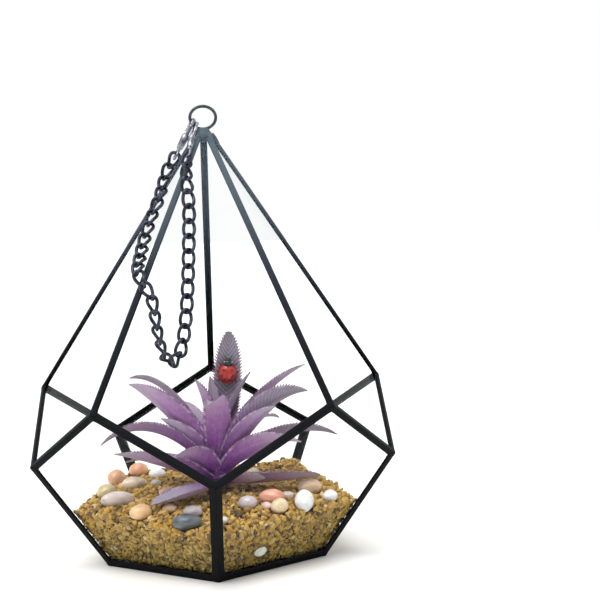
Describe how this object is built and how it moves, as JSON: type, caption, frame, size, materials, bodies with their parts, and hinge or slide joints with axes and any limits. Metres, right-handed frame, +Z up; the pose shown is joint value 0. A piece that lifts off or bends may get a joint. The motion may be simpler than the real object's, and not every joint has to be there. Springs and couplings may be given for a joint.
{
  "type": "planted geometric glass terrarium",
  "caption": "Faceted glass terrarium in a black frame with an open kite-shaped front, a gravel bed, pebbles, a purple rosette plant and a hanging chain.",
  "frame": {"origin": "on the upright axis of the terrarium, at the surface that it stands on", "axes": "+Z up, -Y towards the open front kite, +X to the right of someone who faces that opening"},
  "size_m": [0.1904, 0.1999, 0.2425],
  "materials": {
    "black_paint": "satin black patina over solder, slightly uneven, greyer where it catches the light",
    "clear_glass": "clear sheet glass with a faint green edge",
    "black_steel": "blackened steel wire, satin",
    "silver": "bright nickel plate",
    "gravel": "ochre, golden and brown stone grains, damp sheen",
    "pebble": "tumbled river pebbles in peach, grey, cream and slate, smooth",
    "purple_leaf": "waxy leaf, deep purple at the heart to silver lilac at the tips, pale teeth",
    "ladybird_red": "glossy red with black spots and a black head"
  },
  "bodies": {
    "root": {"rib_1": "black_paint", "rib_2": "black_paint", "rib_3": "black_paint", "rib_4": "black_paint", "rib_5": "black_paint", "girdle_rise_1": "black_paint", "girdle_rise_2": "black_paint", "girdle_rise_3": "black_paint", "girdle_rise_4": "black_paint", "girdle_rise_5": "black_paint", "girdle_fall_1": "black_paint", "girdle_fall_2": "black_paint", "girdle_fall_3": "black_paint", "girdle_fall_4": "black_paint", "girdle_fall_5": "black_paint", "strut_1": "black_paint", "strut_2": "black_paint", "strut_3": "black_paint", "strut_4": "black_paint", "strut_5": "black_paint", "base_1": "black_paint", "base_2": "black_paint", "base_3": "black_paint", "base_4": "black_paint", "base_5": "black_paint", "apex_cap": "black_paint", "hanging_ring": "black_paint", "pane_floor": "clear_glass", "pane_side_1": "clear_glass", "pane_side_2": "clear_glass", "pane_side_3": "clear_glass", "pane_side_4": "clear_glass", "pane_side_5": "clear_glass", "pane_kite_2": "clear_glass", "pane_kite_3": "clear_glass", "pane_kite_4": "clear_glass", "pane_kite_5": "clear_glass", "chain_outer": "black_steel", "chain_loop": "black_steel", "clasp_left": "silver", "clasp_right": "silver", "gravel_bed": "gravel", "rosette_plant": "purple_leaf", "ladybird": "ladybird_red", "pebble_01": "pebble", "pebble_02": "pebble", "pebble_03": "pebble", "pebble_04": "pebble", "pebble_05": "pebble", "pebble_06": "pebble", "pebble_07": "pebble", "pebble_08": "pebble", "pebble_09": "pebble", "pebble_10": "pebble", "pebble_11": "pebble", "pebble_12": "pebble", "pebble_13": "pebble", "pebble_14": "pebble", "pebble_15": "pebble", "pebble_16": "pebble"}
  },
  "joints": []
}
